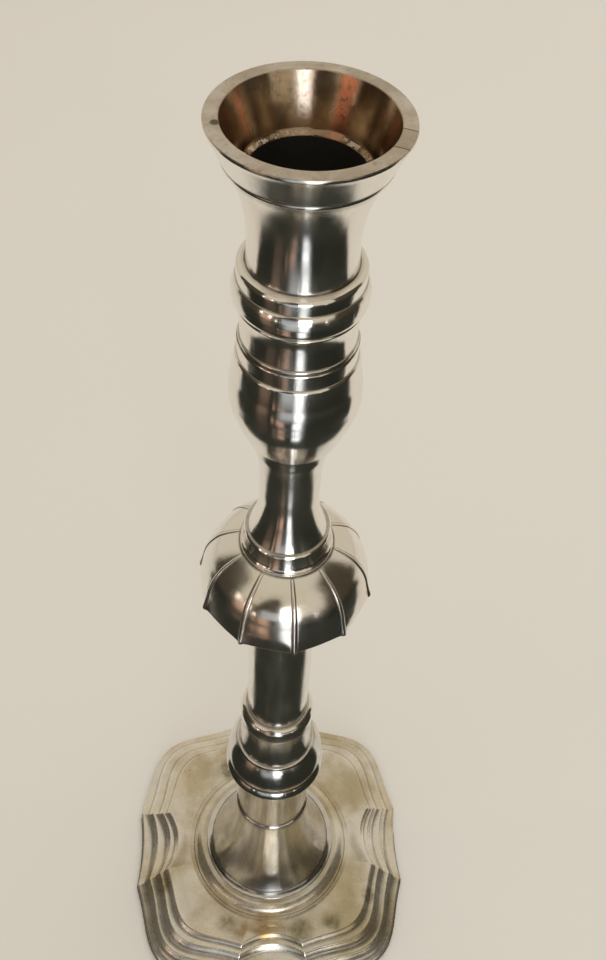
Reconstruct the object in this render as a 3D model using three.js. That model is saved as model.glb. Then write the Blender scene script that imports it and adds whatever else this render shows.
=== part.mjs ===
// Silver candlestick: turned and cast sections, stacked and clamped by one threaded tie rod.
// Millimetres, +Z up. The origin is on the resting surface, on the axis of the stem.
import * as THREE from "three";

// ---- driving dimensions -------------------------------------------------------------------
const TOTAL_HEIGHT = 320;
const TURNED_SIDES = 28; // facets around every turned section

// Joint planes between the stacked sections, from the base up.
const BASE_TOP = 12.9;
const FOOT_TOP = 53;
const LOWER_KNOP_TOP = 100;
const COVE_TOP = 116;
const PILLAR_SEAT = 118;
const PILLAR_TOP = 190;
const SHOULDER_TOP = 205.8;
const SHOULDER_COLLAR_TOP = 212;
const NECK_TOP = 245;
const URN_TOP = 269.2;
const DRUM_RING_TOP = 274;
const DRUM_TOP = 282.4;
const TORUS_TOP = 288;

// Candle socket in the cup.
const SOCKET_MOUTH_RADIUS = 10.5; // takes a 21 mm candle
const SOCKET_FLOOR_RADIUS = 9.3;
const SOCKET_FLOOR = 292;
const CANDLE_LEDGE = 310;

// Clamping hardware, M6.
const ROD_RADIUS = 3;
const ROD_HOLE_RADIUS = 3.3;
const NUT_ACROSS_FLATS = 10;
const NUT_HEIGHT = 5;
const THIN_NUT_HEIGHT = 3;
const WASHER_THICKNESS = 1.5;
const BASE_WEB_UNDERSIDE = 10.5;

const FIT_GAP = 0.3; // between a spigot or a tube and the recess it sits in
const FOOT_SPIGOT_RADIUS = 8;
const SPIGOT_HEIGHT = 2;
const PILLAR_RADIUS = 9;
const PILLAR_BORE_RADIUS = 7.2;

// Base border: how far out it is at the middle of a notch, at a cusp and at the middle of a lobe.
const FOOT_EDGE = { notch: 49.8, cusp: 52.9, lobe: 58.6 };
const RIM_WIDTH = 3.4;
const FELT_THICKNESS = 0.8;
const CUSP_ANGLE = THREE.MathUtils.degToRad(15.6); // from the middle of the notch
const NOTCH_STEPS = 2;
const LOBE_STEPS = 4;

// Umbrella-shaped shoulder knop.
const RIB_COUNT = 10;
const FIRST_RIB_ANGLE = THREE.MathUtils.degToRad(22.5);
const RIB_HALF_ANGLE = THREE.MathUtils.degToRad(1.8);
const RIB_HEIGHT = 0.35;
const PANEL_FLATNESS = 0.8; // how far the middle of a panel lies inside the round, at the edge
const PANEL_FLAT_BELOW = 189;
const PANEL_ROUND_ABOVE = 203;

// ---- materials ----------------------------------------------------------------------------
const silver = () => new THREE.MeshStandardMaterial({ color: 0xc9c5bb, roughness: 0.2, metalness: 1 });
const steel = () => new THREE.MeshStandardMaterial({ color: 0x8d8f92, roughness: 0.45, metalness: 1 });
const felt = () => new THREE.MeshStandardMaterial({ color: 0x27402f, roughness: 0.95, metalness: 0 });

const candlestick = new THREE.Group();

function addPiece(name, geometry, material) {
  const piece = new THREE.Mesh(geometry, material);
  piece.name = name;
  candlestick.add(piece);
}

// ---- outlines -----------------------------------------------------------------------------
// An outline is a list of [radius, height, bow]. A bow is how far the stretch that ends at the
// point swells out of the metal (positive) or hollows into it (negative); without one it is
// straight. Every outline runs up the outside and down the inside, and closes on itself.
function bowedPoints(outline) {
  const points = [new THREE.Vector2(outline[0][0], outline[0][1])];
  for (const [radius, height, bow] of outline.slice(1)) {
    const start = points[points.length - 1];
    const end = new THREE.Vector2(radius, height);
    if (!bow) {
      points.push(end);
      continue;
    }
    const along = end.clone().sub(start).normalize();
    const out = new THREE.Vector2(along.y, -along.x);
    const middle = start.clone().add(end).multiplyScalar(0.5);
    const control = middle.addScaledVector(out, 2 * bow);
    const steps = THREE.MathUtils.clamp(Math.ceil(Math.abs(bow) * 3), 2, 4);
    points.push(...new THREE.QuadraticBezierCurve(start, control, end).getPoints(steps).slice(1));
  }
  return points;
}

function turned(outline) {
  const points = bowedPoints(outline);
  points.push(points[0].clone());
  return new THREE.LatheGeometry(points, TURNED_SIDES).rotateX(Math.PI / 2);
}

// A plain ring-shaped section: this outer outline, bored for the tie rod.
function boredThrough(outer) {
  const bottom = outer[0][1];
  const top = outer[outer.length - 1][1];
  return turned([...outer, [ROD_HOLE_RADIUS, top], [ROD_HOLE_RADIUS, bottom]]);
}

// A surface through closed rings of points, the last ring joined back to the first.
function ringSurface(rings) {
  const around = rings[0].length;
  const geometry = new THREE.BufferGeometry();
  geometry.setAttribute("position", new THREE.Float32BufferAttribute(rings.flat(2), 3));
  const index = [];
  for (let ring = 0; ring < rings.length; ring++) {
    const next = (ring + 1) % rings.length;
    for (let step = 0; step < around; step++) {
      const beside = (step + 1) % around;
      const a = ring * around + step;
      const b = ring * around + beside;
      const c = next * around + beside;
      const d = next * around + step;
      index.push(a, b, c, a, c, d);
    }
  }
  geometry.setIndex(index);
  geometry.computeVertexNormals();
  return geometry;
}

// ---- base ---------------------------------------------------------------------------------
// One eighth of a border ring, from the middle of a notch to the middle of a lobe, as polar
// points. The notch curves in towards the stem and the lobe bows out from the cusp.
function borderEighth({ notch, cusp, lobe }) {
  const polar = [];
  const cuspX = cusp * Math.cos(CUSP_ANGLE);
  const cuspY = cusp * Math.sin(CUSP_ANGLE);
  for (let step = 0; step <= NOTCH_STEPS; step++) {
    const share = step / NOTCH_STEPS;
    const x = notch + (cuspX - notch) * share * share;
    const y = cuspY * share;
    polar.push([Math.hypot(x, y), Math.atan2(y, x)]);
  }
  for (let step = 1; step <= LOBE_STEPS; step++) {
    const share = step / LOBE_STEPS;
    const rise = THREE.MathUtils.smoothstep(share, 0, 1) ** 1.5;
    const angle = CUSP_ANGLE + (Math.PI / 4 - CUSP_ANGLE) * share;
    polar.push([cusp + (lobe - cusp) * rise, angle]);
  }
  return polar;
}

function borderPoints(border) {
  const eighth = borderEighth(border);
  const mirrored = eighth.slice(1, -1).reverse();
  const points = [];
  for (let quarter = 0; quarter < 4; quarter++) {
    const notchAngle = (quarter * Math.PI) / 2;
    for (const [radius, angle] of eighth) {
      points.push([radius * Math.cos(notchAngle + angle), radius * Math.sin(notchAngle + angle)]);
    }
    for (const [radius, angle] of mirrored) {
      const turnedAngle = notchAngle + Math.PI / 2 - angle;
      points.push([radius * Math.cos(turnedAngle), radius * Math.sin(turnedAngle)]);
    }
  }
  return points;
}

const border = (notch, cusp, lobe, height) => ({ notch, cusp, lobe, height });
const round = (radius, height) => ({ notch: radius, cusp: radius, lobe: radius, height });
const inset = (distance, height) => ({
  notch: FOOT_EDGE.notch - distance,
  cusp: FOOT_EDGE.cusp - distance,
  lobe: FOOT_EDGE.lobe - distance,
  height,
});

// A round ring keeps the border's angles, so that its points line up with the border's.
function baseRing({ height, ...ring }) {
  if (ring.notch !== ring.cusp) {
    return borderPoints(ring).map(([x, y]) => [x, y, height]);
  }
  return borderPoints(FOOT_EDGE).map(([x, y]) => {
    const scale = ring.notch / Math.hypot(x, y);
    return [x * scale, y * scale, height];
  });
}

// The cast base: foot rim, three stepped mouldings, dished field and the roll under the stem.
const baseSection = [
  inset(0.3, 0),
  inset(0, 0.4),
  inset(0.1, 1.4),
  border(48.7, 51.9, 57.4, 2.6),
  border(45.6, 49.6, 55.4, 3.3),
  border(44, 48.1, 54, 5.1),
  border(43.2, 47.5, 53.2, 5.7),
  border(40.4, 45.2, 50.7, 6.3),
  border(38.9, 43.9, 49.3, 8),
  border(38.2, 43.3, 48.5, 8.6),
  border(36.8, 41.9, 46.2, 8.9),
  border(35.8, 41, 45.1, 10.1),
  border(34.8, 39.8, 44, 10.6),
  border(32.8, 36.2, 39, 9.8),
  round(30.8, 8.7),
  round(29.2, 8.2),
  round(28.9, 9.2),
  round(28.3, 11),
  round(26.9, 12.3),
  round(25.3, BASE_TOP),
  round(ROD_HOLE_RADIUS, BASE_TOP),
  round(ROD_HOLE_RADIUS, BASE_WEB_UNDERSIDE),
  round(23.4, BASE_WEB_UNDERSIDE),
  round(25.6, 6.4),
  round(30, 6),
  border(33, 37, 41, 7.8),
  border(38, 42, 47, 5.6),
  inset(RIM_WIDTH + 3, FELT_THICKNESS),
  inset(RIM_WIDTH, FELT_THICKNESS),
  inset(RIM_WIDTH, 0),
];
addPiece("base_plate", ringSurface(baseSection.map(baseRing)), silver());

// The felt that closes the hollow underside, glued up against the ledge inside the rim.
const feltShape = new THREE.Shape(
  borderPoints(inset(RIM_WIDTH + FIT_GAP, 0)).map(([x, y]) => new THREE.Vector2(x, y)),
);
const feltGeometry = new THREE.ExtrudeGeometry(feltShape, { depth: FELT_THICKNESS, bevelEnabled: false });
addPiece("felt_pad", feltGeometry, felt());

// ---- stem, from the base up ---------------------------------------------------------------
addPiece(
  "trumpet_foot",
  turned([
    [24.2, BASE_TOP],
    [24, 13.4],
    [21.9, 14.3],
    [16.8, 26, -0.5],
    [12.5, 51.8, -0.58],
    [12.7, 52.5],
    [12.1, FOOT_TOP],
    [FOOT_SPIGOT_RADIUS, FOOT_TOP],
    [FOOT_SPIGOT_RADIUS, FOOT_TOP + SPIGOT_HEIGHT],
    [ROD_HOLE_RADIUS, FOOT_TOP + SPIGOT_HEIGHT],
    [ROD_HOLE_RADIUS, 49],
    [9.8, 48.5],
    [14.4, 25.5, 0.58],
    [20.4, BASE_TOP, 0.5],
  ]),
  silver(),
);

const knopBoreRadius = FOOT_SPIGOT_RADIUS + FIT_GAP;
const KNOP_WEB = 4;
addPiece(
  "lower_knop",
  turned([
    [12.1, FOOT_TOP],
    [11.8, 66],
    [12.3, 79.5, -0.2],
    [15.6, 83.4, -0.6],
    [15.9, 85.1],
    [14.8, 87.3],
    [12.4, 99.2, 1.4],
    [11.5, LOWER_KNOP_TOP],
    [ROD_HOLE_RADIUS, LOWER_KNOP_TOP],
    [ROD_HOLE_RADIUS, LOWER_KNOP_TOP - KNOP_WEB],
    [knopBoreRadius, LOWER_KNOP_TOP - KNOP_WEB],
    [knopBoreRadius, FOOT_TOP],
  ]),
  silver(),
);

addPiece(
  "cove_collar",
  boredThrough([
    [11.5, LOWER_KNOP_TOP],
    [11.2, COVE_TOP, -0.4],
  ]),
  silver(),
);

// The pillar is a plain tube, seated in a collar below and in the shoulder knop above.
const pillarRecessRadius = PILLAR_RADIUS + FIT_GAP;
addPiece(
  "pillar_collar",
  turned([
    [11.2, COVE_TOP],
    [11.3, 119.3],
    [10.6, 121.1],
    [pillarRecessRadius, 121.9],
    [pillarRecessRadius, PILLAR_SEAT],
    [ROD_HOLE_RADIUS, PILLAR_SEAT],
    [ROD_HOLE_RADIUS, COVE_TOP],
  ]),
  silver(),
);
addPiece(
  "pillar",
  turned([
    [PILLAR_RADIUS, PILLAR_SEAT],
    [PILLAR_RADIUS, PILLAR_TOP],
    [PILLAR_BORE_RADIUS, PILLAR_TOP],
    [PILLAR_BORE_RADIUS, PILLAR_SEAT],
  ]),
  silver(),
);

// The umbrella: its top swells like a canopy, with raised ribs that run out to its edge. The
// panels between the ribs are round at the top and nearly flat at the edge.
function ribbedRing({ x: radius, y: height }, isRibbed) {
  const sector = (2 * Math.PI) / RIB_COUNT;
  const roundness = THREE.MathUtils.smoothstep(height, PANEL_FLAT_BELOW, PANEL_ROUND_ABOVE);
  const stops = [
    [0, isRibbed ? RIB_HEIGHT : 0],
    [RIB_HALF_ANGLE, 0],
    [sector / 2, isRibbed ? -PANEL_FLATNESS * (1 - roundness) : 0],
    [sector - RIB_HALF_ANGLE, 0],
  ];
  const ring = [];
  for (let rib = 0; rib < RIB_COUNT; rib++) {
    for (const [offset, proud] of stops) {
      const angle = FIRST_RIB_ANGLE + rib * sector + offset;
      ring.push([(radius + proud) * Math.cos(angle), (radius + proud) * Math.sin(angle), height]);
    }
  }
  return ring;
}

const UMBRELLA_EDGE = 187.3;
const canopy = bowedPoints([
  [21.5, UMBRELLA_EDGE],
  [21.9, 188.6],
  [21.3, 193.5, 0.2],
  [16.6, 202.4, 0.9],
  [11.4, 205.5, 0.2],
]);
const shoulderBody = bowedPoints([
  [11.4, SHOULDER_TOP],
  [ROD_HOLE_RADIUS, SHOULDER_TOP],
  [ROD_HOLE_RADIUS, PILLAR_TOP],
  [pillarRecessRadius, PILLAR_TOP],
  [pillarRecessRadius, 181],
  [11, 181],
  [13.4, 185],
  [20.3, 186.8, -0.4],
]);
addPiece(
  "shoulder_knop",
  ringSurface([
    ...canopy.map((point) => ribbedRing(point, true)),
    ...shoulderBody.map((point) => ribbedRing(point, false)),
  ]),
  silver(),
);

addPiece(
  "shoulder_collar",
  boredThrough([
    [11.2, SHOULDER_TOP],
    [11.3, 206.5],
    [10.7, 207.6],
    [10.5, 211.4],
    [10.1, SHOULDER_COLLAR_TOP],
  ]),
  silver(),
);

addPiece(
  "neck",
  boredThrough([
    [9.6, SHOULDER_COLLAR_TOP],
    [7, 226, -0.9],
    [7.1, 233],
    [8.1, 240.3, -0.15],
    [8.5, 244.3],
    [9.5, NECK_TOP],
  ]),
  silver(),
);

addPiece(
  "urn_knop",
  boredThrough([
    [9.9, NECK_TOP],
    [12.9, 252.8],
    [13.8, 258.6, 0.3],
    [13.3, 264, 0.2],
    [12.6, 268.8],
    [12.2, URN_TOP],
  ]),
  silver(),
);

addPiece(
  "drum_ring",
  boredThrough([
    [12.2, URN_TOP],
    [12.4, 272.9],
    [12, 273.3],
    [11.7, DRUM_RING_TOP],
  ]),
  silver(),
);

addPiece(
  "drum",
  boredThrough([
    [11.7, DRUM_RING_TOP],
    [11.7, 278],
    [12.6, 282, -0.2],
    [12.2, DRUM_TOP],
  ]),
  silver(),
);

addPiece(
  "torus_ring",
  boredThrough([
    [12.2, DRUM_TOP],
    [13.2, 284.5, 0.25],
    [12.7, 287.6, 0.2],
    [12.2, TORUS_TOP],
  ]),
  silver(),
);

addPiece(
  "candle_cup",
  turned([
    [12.2, TORUS_TOP],
    [12.3, 290.5],
    [11.7, 291.2],
    [10.6, 291.5],
    [10.42, 297.6, -0.1],
    [14.3, 312.2, -0.9],
    [14.9, 312.6],
    [15, 313.3],
    [17.4, 318.9],
    [17.7, 319.4],
    [17.6, TOTAL_HEIGHT],
    [15, TOTAL_HEIGHT],
    [11.5, CANDLE_LEDGE + 0.9],
    [SOCKET_MOUTH_RADIUS, CANDLE_LEDGE],
    [SOCKET_FLOOR_RADIUS, 298],
    [SOCKET_FLOOR_RADIUS, SOCKET_FLOOR],
    [ROD_HOLE_RADIUS, SOCKET_FLOOR],
    [ROD_HOLE_RADIUS, TORUS_TOP],
  ]),
  silver(),
);

// ---- clamping hardware --------------------------------------------------------------------
function washer(outerRadius, bottom) {
  return boredThrough([
    [outerRadius, bottom],
    [outerRadius, bottom + WASHER_THICKNESS],
  ]);
}

function hexNut(bottom, height) {
  const corner = NUT_ACROSS_FLATS / Math.sqrt(3);
  const hexagon = Array.from({ length: 6 }, (_, side) => {
    const angle = (side * Math.PI) / 3;
    return new THREE.Vector2(corner * Math.cos(angle), corner * Math.sin(angle));
  });
  const shape = new THREE.Shape(hexagon);
  shape.holes.push(new THREE.Path().absarc(0, 0, ROD_HOLE_RADIUS, 0, 2 * Math.PI));
  const nut = new THREE.ExtrudeGeometry(shape, { depth: height, bevelEnabled: false, curveSegments: 12 });
  return nut.translate(0, 0, bottom);
}

const baseWasherBottom = BASE_WEB_UNDERSIDE - WASHER_THICKNESS;
const baseNutBottom = baseWasherBottom - NUT_HEIGHT;
const cupNutBottom = SOCKET_FLOOR + WASHER_THICKNESS;
const ROD_PROUD = 1;
addPiece("base_washer", washer(12, baseWasherBottom), steel());
addPiece("base_nut", hexNut(baseNutBottom, NUT_HEIGHT), steel());
addPiece("cup_washer", washer(8, SOCKET_FLOOR), steel());
addPiece("cup_nut", hexNut(cupNutBottom, THIN_NUT_HEIGHT), steel());

const rodBottom = baseNutBottom - ROD_PROUD;
const rodTop = cupNutBottom + THIN_NUT_HEIGHT + ROD_PROUD;
const rodChamfer = 0.6;
const ROD_SIDES = 20;
const rod = new THREE.LatheGeometry(
  [
    new THREE.Vector2(0, rodBottom),
    new THREE.Vector2(ROD_RADIUS - rodChamfer, rodBottom),
    new THREE.Vector2(ROD_RADIUS, rodBottom + rodChamfer),
    new THREE.Vector2(ROD_RADIUS, rodTop - rodChamfer),
    new THREE.Vector2(ROD_RADIUS - rodChamfer, rodTop),
    new THREE.Vector2(0, rodTop),
  ],
  ROD_SIDES,
);
addPiece("tie_rod", rod.rotateX(Math.PI / 2), steel());

export default candlestick;
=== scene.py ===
import math

import bpy
from mathutils import Matrix, Vector, noise


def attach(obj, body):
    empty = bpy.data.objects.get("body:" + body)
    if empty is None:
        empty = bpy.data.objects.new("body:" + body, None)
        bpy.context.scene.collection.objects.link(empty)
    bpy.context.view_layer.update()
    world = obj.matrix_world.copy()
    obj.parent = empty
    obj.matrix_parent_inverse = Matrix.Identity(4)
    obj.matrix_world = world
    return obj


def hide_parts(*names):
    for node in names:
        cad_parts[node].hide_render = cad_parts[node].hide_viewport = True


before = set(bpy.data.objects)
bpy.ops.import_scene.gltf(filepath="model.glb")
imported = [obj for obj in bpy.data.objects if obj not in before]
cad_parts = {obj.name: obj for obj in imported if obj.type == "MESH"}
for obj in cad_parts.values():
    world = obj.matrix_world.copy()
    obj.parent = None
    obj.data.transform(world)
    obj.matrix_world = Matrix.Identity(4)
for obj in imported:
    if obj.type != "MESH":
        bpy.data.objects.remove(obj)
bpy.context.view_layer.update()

MM = 0.001

# ---- view ---------------------------------------------------------------------------------
BASE_TURN = math.radians(4.5)  # how far the notches are turned from square to the camera
CAMERA_BACK = 0.1536
CAMERA_HEIGHT = 0.4128
CAMERA_LENS = 39.375  # mm, for the sensor width below
SENSOR_WIDTH = 36
LOOK_DOWN = math.radians(50.21)
LOOK_RIGHT = math.radians(1.10)
CAMERA_ROLL = math.radians(-4.12)

TO_PART = Matrix.Rotation(-BASE_TURN, 3, "Z")
FRONT = TO_PART @ Vector((0, -1, 0))
RIGHT = TO_PART @ Vector((1, 0, 0))


def make_camera():
    ahead = TO_PART @ Vector((
        math.sin(LOOK_RIGHT) * math.cos(LOOK_DOWN),
        math.cos(LOOK_RIGHT) * math.cos(LOOK_DOWN),
        -math.sin(LOOK_DOWN),
    ))
    level = TO_PART @ Vector((math.cos(LOOK_RIGHT), -math.sin(LOOK_RIGHT), 0))
    down = ahead.cross(level)
    across = level * math.cos(CAMERA_ROLL) + down * math.sin(CAMERA_ROLL)
    up = level * math.sin(CAMERA_ROLL) - down * math.cos(CAMERA_ROLL)
    data = bpy.data.cameras.new("camera")
    data.lens = CAMERA_LENS
    data.sensor_width = SENSOR_WIDTH
    data.clip_start = 0.01
    camera = bpy.data.objects.new("camera", data)
    place = Matrix((across, up, -ahead)).transposed().to_4x4()
    place.translation = FRONT * CAMERA_BACK + Vector((0, 0, CAMERA_HEIGHT))
    camera.matrix_world = place
    bpy.context.scene.collection.objects.link(camera)
    bpy.context.scene.camera = camera


# ---- dimensions shared by the pieces (mm) ---------------------------------------------------
ROD_HOLE = 3.3
BASE_TOP = 12.9
FOOT_TOP = 53
SPIGOT = 2
SPIGOT_RADIUS = 8
FIT = 0.3
LOWER_KNOP_TOP = 100
COVE_TOP = 116
PILLAR_SEAT = 118
PILLAR_TOP = 190
PILLAR_RADIUS = 9
PILLAR_BORE = 7.2
SHOULDER_TOP = 205.8
SHOULDER_COLLAR_TOP = 212
NECK_TOP = 245
URN_TOP = 269.2
DRUM_RING_TOP = 274
DRUM_TOP = 282.4
TORUS_TOP = 288
SOCKET_FLOOR = 292
TOTAL_HEIGHT = 320


# ---- node helpers -------------------------------------------------------------------------
def node(tree, kind, inputs=None, **settings):
    made = tree.nodes.new("ShaderNode" + kind)
    for key, value in settings.items():
        setattr(made, key, value)
    for key, value in (inputs or {}).items():
        if isinstance(value, bpy.types.NodeSocket):
            tree.links.new(value, made.inputs[key])
        else:
            made.inputs[key].default_value = value
    return made


def maths(tree, operation, first, second=0.0, third=0.0, clamp=False):
    made = node(tree, "Math", {0: first, 1: second, 2: third}, operation=operation, use_clamp=clamp)
    return made.outputs[0]


def between(tree, value, low, high, to_low=0.0, to_high=1.0):
    made = node(
        tree,
        "MapRange",
        {"Value": value, "From Min": low, "From Max": high, "To Min": to_low, "To Max": to_high},
        interpolation_type="SMOOTHSTEP",
    )
    return made.outputs["Result"]


def mixed(tree, share, first, second):
    made = node(tree, "Mix", data_type="RGBA")
    for socket, value in ((made.inputs[0], share), (made.inputs[6], first), (made.inputs[7], second)):
        if isinstance(value, bpy.types.NodeSocket):
            tree.links.new(value, socket)
        elif isinstance(value, float):
            socket.default_value = value
        else:
            socket.default_value = (*value, 1)
    return made.outputs[2]


def cloudy(
    tree, where, scale, detail=4.0, roughness=0.55, offset=(0, 0, 0), stretch=(1, 1, 1), turn=(0, 0, 0)
):
    mapping = node(tree, "Mapping", {"Vector": where, "Location": offset, "Scale": stretch, "Rotation": turn})
    made = node(
        tree,
        "TexNoise",
        {"Vector": mapping.outputs[0], "Scale": scale, "Detail": detail, "Roughness": roughness},
    )
    return made.outputs["Fac"]


def bumped(tree, height, strength, distance, onto=None):
    inputs = {"Height": height, "Strength": strength, "Distance": distance}
    if onto is not None:
        inputs["Normal"] = onto
    return node(tree, "Bump", inputs).outputs["Normal"]


def attribute(tree, name):
    return node(tree, "Attribute", attribute_name=name).outputs["Fac"]


def new_material(name):
    material = bpy.data.materials.new(name)
    material.use_nodes = True
    material.node_tree.nodes.clear()
    return material, material.node_tree


def finish_material(tree, inputs):
    shader = node(tree, "BsdfPrincipled", inputs)
    output = node(tree, "OutputMaterial")
    tree.links.new(shader.outputs[0], output.inputs[0])
    return shader


# ---- materials ----------------------------------------------------------------------------
SILVER = (0.93, 0.905, 0.865)
WARM_SILVER = (0.86, 0.77, 0.62)
OLIVE = (0.50, 0.42, 0.25)
# Painted shade: the grey mixed into the foot's silver to darken it.
SHADE_GREY = (0.30, 0.30, 0.29)
GRIME = (0.085, 0.065, 0.04)
AMBER = (0.58, 0.45, 0.31)
BROWN = (0.29, 0.20, 0.13)
# Colour of the painted reflection of a warm lamp down the cup's mouth.
WARM_REFLECTION_COLOUR = (1.0, 0.36, 0.20)
WAX = (0.60, 0.49, 0.38)
SOOT = (0.010, 0.009, 0.009)
RIM_BLOOM = (0.58, 0.50, 0.42)
TARNISHED_METAL = 0.88  # how metallic the tarnished base still is
# Marks and painted reflections on the cup, in degrees round from the front, positive to the right
PATCH_TURN = 73  # a mended patch on the rim
PATCH_HALF = 0.0028
PIT_TURN = -78  # a pit at the rim's inner edge
PIT_RADIUS = 0.0156
WARM_REFLECTION_TURN = 155  # painted reflection: an orange streak down the mouth, where a warm lamp would reflect
HIGHLIGHT_TURN = -172  # painted highlight: a pale streak down the mouth, where the window would reflect
CREAM_SIDE_TURN = -130
DISH_BROWN = (0.3128, 0.3112)  # heights between which the foot of the dish turns brown, in metres

# Painted reflections on the base, dark olive and amber patches at set places round it: turn, distance out,
# spread, colour
REFLECTED_DARK_OLIVE = (0.22, 0.20, 0.12)
PAINTED_BASE_REFLECTIONS = (
    (0, 0.0335, 0.0065, (0.55, 0.36, 0.15)),
    (-14, 0.0350, 0.0050, (0.50, 0.38, 0.18)),
    (22, 0.0360, 0.0060, REFLECTED_DARK_OLIVE),
    (40, 0.0390, 0.0050, REFLECTED_DARK_OLIVE),
    (-146, 0.0330, 0.0055, REFLECTED_DARK_OLIVE),
    (-24, 0.0350, 0.0050, (0.36, 0.30, 0.16)),
    (63, 0.0430, 0.0040, REFLECTED_DARK_OLIVE),
    (-64, 0.0440, 0.0045, (0.40, 0.32, 0.18)),
)


def along(tree, where, direction):
    return node(tree, "VectorMath", {0: where, 1: direction}, operation="DOT_PRODUCT").outputs["Value"]


def distance_from(tree, where, place):
    return node(tree, "VectorMath", {0: where, 1: place}, operation="DISTANCE").outputs["Value"]


def facing(turn):
    """Unit vectors outwards and sideways at an angle round from the front."""
    outward = FRONT * math.cos(math.radians(turn)) + RIGHT * math.sin(math.radians(turn))
    return tuple(outward), (-outward.y, outward.x, 0)


def streak_at(tree, where, turn, half):
    """1 in an upright band of that half width on the side of the axis that faces the angle."""
    outward, sideways = facing(turn)
    across = maths(tree, "ABSOLUTE", along(tree, where, sideways))
    ahead = between(tree, along(tree, where, outward), 0.002, 0.004)
    return maths(tree, "MULTIPLY", between(tree, across, half, half * 0.3), ahead)


def line_at(tree, value, place, width):
    return between(tree, maths(tree, "ABSOLUTE", maths(tree, "SUBTRACT", value, place)), width, width * 0.3)


def base_patina(tree, where, flat, smear, colour, amount):
    """Olive tarnish in patches, and painted reflections: dark olive and amber patches at set places round the
    base.
    """
    patches = between(tree, cloudy(tree, where, 34, 6, 0.6, (1.7, 0.4, 0.9)), 0.38, 0.64, 0.12, amount)
    colour = mixed(tree, patches, colour, OLIVE)
    streaky = between(tree, smear, 0.35, 0.6, 0.3, 1.0)
    # Painted reflections: dark olive and amber patches at set places, streaked by the smear noise.
    for turn, out, spread, tint in PAINTED_BASE_REFLECTIONS:
        middle = tuple(Vector(facing(turn)[0]) * out)
        gap = distance_from(tree, flat, middle)
        painted_reflection = maths(tree, "MULTIPLY", between(tree, gap, spread, spread * 0.3, 0.0, 0.9), streaky)
        colour = mixed(tree, painted_reflection, colour, tint)
    return colour


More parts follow.
